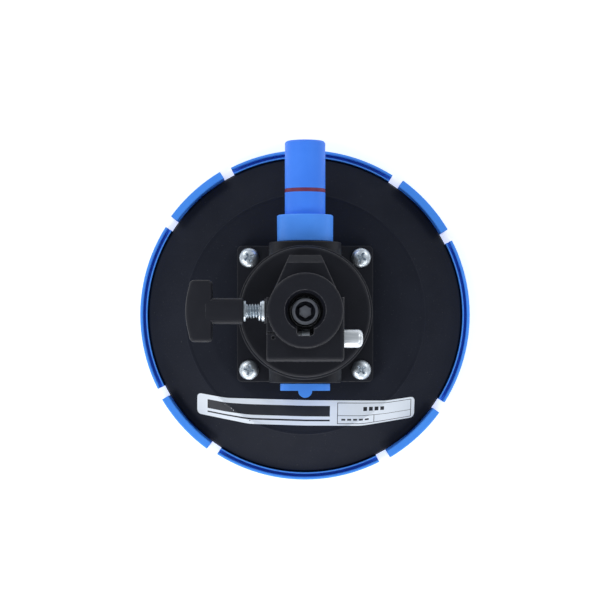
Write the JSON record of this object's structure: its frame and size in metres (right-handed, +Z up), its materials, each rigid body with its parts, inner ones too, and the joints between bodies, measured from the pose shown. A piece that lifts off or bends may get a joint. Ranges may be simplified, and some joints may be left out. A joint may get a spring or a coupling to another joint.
{
  "type": "vacuum pump cup with spigot socket",
  "caption": "Round rubber vacuum cup with a hand plunger pump, release lever, clamping socket for a 16 mm spigot, T-knob, push-button pin and clip-on protective cover.",
  "frame": {"origin": "on the cup's axis at the underside of the protective cover", "axes": "+Z up along the socket, +Y the way the plunger comes out, +X towards the safety pin's button"},
  "size_m": [0.1586, 0.1605, 0.095],
  "materials": {
    "cover_blue": "satin moulded polypropylene",
    "pump_blue": "smooth moulded nylon",
    "black_rubber": "matte moulded rubber",
    "seal_rubber": "smooth",
    "black_plastic": "fine moulded texture",
    "knob_plastic": "satin",
    "black_casting": "fine matte powder coat",
    "zinc_steel": "bright zinc plate",
    "plated_steel": "dull zinc plate",
    "dark_steel": "dull nickel plate",
    "spring_steel": "drawn wire",
    "chrome_steel": "polished chrome",
    "brass": "turned",
    "red_plastic": "smooth",
    "white_plastic": "moulded acetal",
    "filter_felt": "porous felt",
    "label_film": "satin vinyl film"
  },
  "bodies": {
    "cup": {"rubber_pad": "black_rubber", "backing_plate": "plated_steel", "pad_gasket": "seal_rubber", "air_filter": "filter_felt", "filter_grille": "black_plastic", "pump_housing": "black_plastic", "base_screws": "zinc_steel", "socket_casting": "black_casting", "socket_bolt": "dark_steel", "bolt_washer": "plated_steel", "socket_nut": "plated_steel", "thread_bush": "zinc_steel", "lock_washer": "zinc_steel", "safety_pin_spring": "spring_steel", "pin_stop": "plated_steel", "pump_tube": "pump_blue", "tube_seal": "seal_rubber", "pump_collar": "pump_blue", "collar_wiper": "seal_rubber", "spring_seat": "plated_steel", "plunger_spring": "spring_steel", "valve_seat": "brass", "valve_disc": "seal_rubber", "lever_pin": "plated_steel", "lever_spring": "spring_steel", "label": "label_film"},
    "plunger_assembly": {"plunger": "pump_blue", "red_band": "red_plastic", "piston": "white_plastic", "piston_seal": "seal_rubber"},
    "release_lever": {"release_lever": "pump_blue", "release_plug": "seal_rubber"},
    "clamp_shoe": {"clamp_shoe": "plated_steel"},
    "t_knob": {"clamp_screw": "zinc_steel", "knob_handle": "knob_plastic"},
    "safety_pin": {"safety_pin": "chrome_steel"},
    "cover": {"protective_cover": "cover_blue"}
  },
  "joints": [
    {"name": "plunger_slide", "type": "slide", "parent": "cup", "child": "plunger_assembly", "axis": [0, -1, 0], "range_m": [0, 0.025], "stiffness_N_per_m": 250, "springref_m": -0.02, "deforming": ["plunger_spring"]},
    {"name": "lever_hinge", "type": "hinge", "parent": "cup", "child": "release_lever", "pos_m": [0, -0.0303, 0.027], "axis": [1, 0, 0], "range_deg": [0, 15], "stiffness_Nm_per_rad": 0.02, "springref_deg": -11.46},
    {"name": "shoe_slide", "type": "slide", "parent": "cup", "child": "clamp_shoe", "axis": [1, 0, 0], "range_m": [-0.0026, 0.0026]},
    {"name": "knob_turn", "type": "hinge", "parent": "clamp_shoe", "child": "t_knob", "pos_m": [0, 0, 0.079], "axis": [1, 0, 0], "range_deg": [-720, 720]},
    {"name": "pin_slide", "type": "slide", "parent": "cup", "child": "safety_pin", "axis": [-1, 0, 0], "range_m": [0, 0.0059], "stiffness_N_per_m": 400, "springref_m": -0.004, "deforming": ["safety_pin_spring"]},
    {"name": "cover_pull", "type": "slide", "parent": "cup", "child": "cover", "axis": [0, 0, -1], "range_m": [0, 0.06]}
  ],
  "couplings": [
    {"joint": "shoe_slide", "follows": "knob_turn", "m_per_rad": 0.00019894}
  ]
}
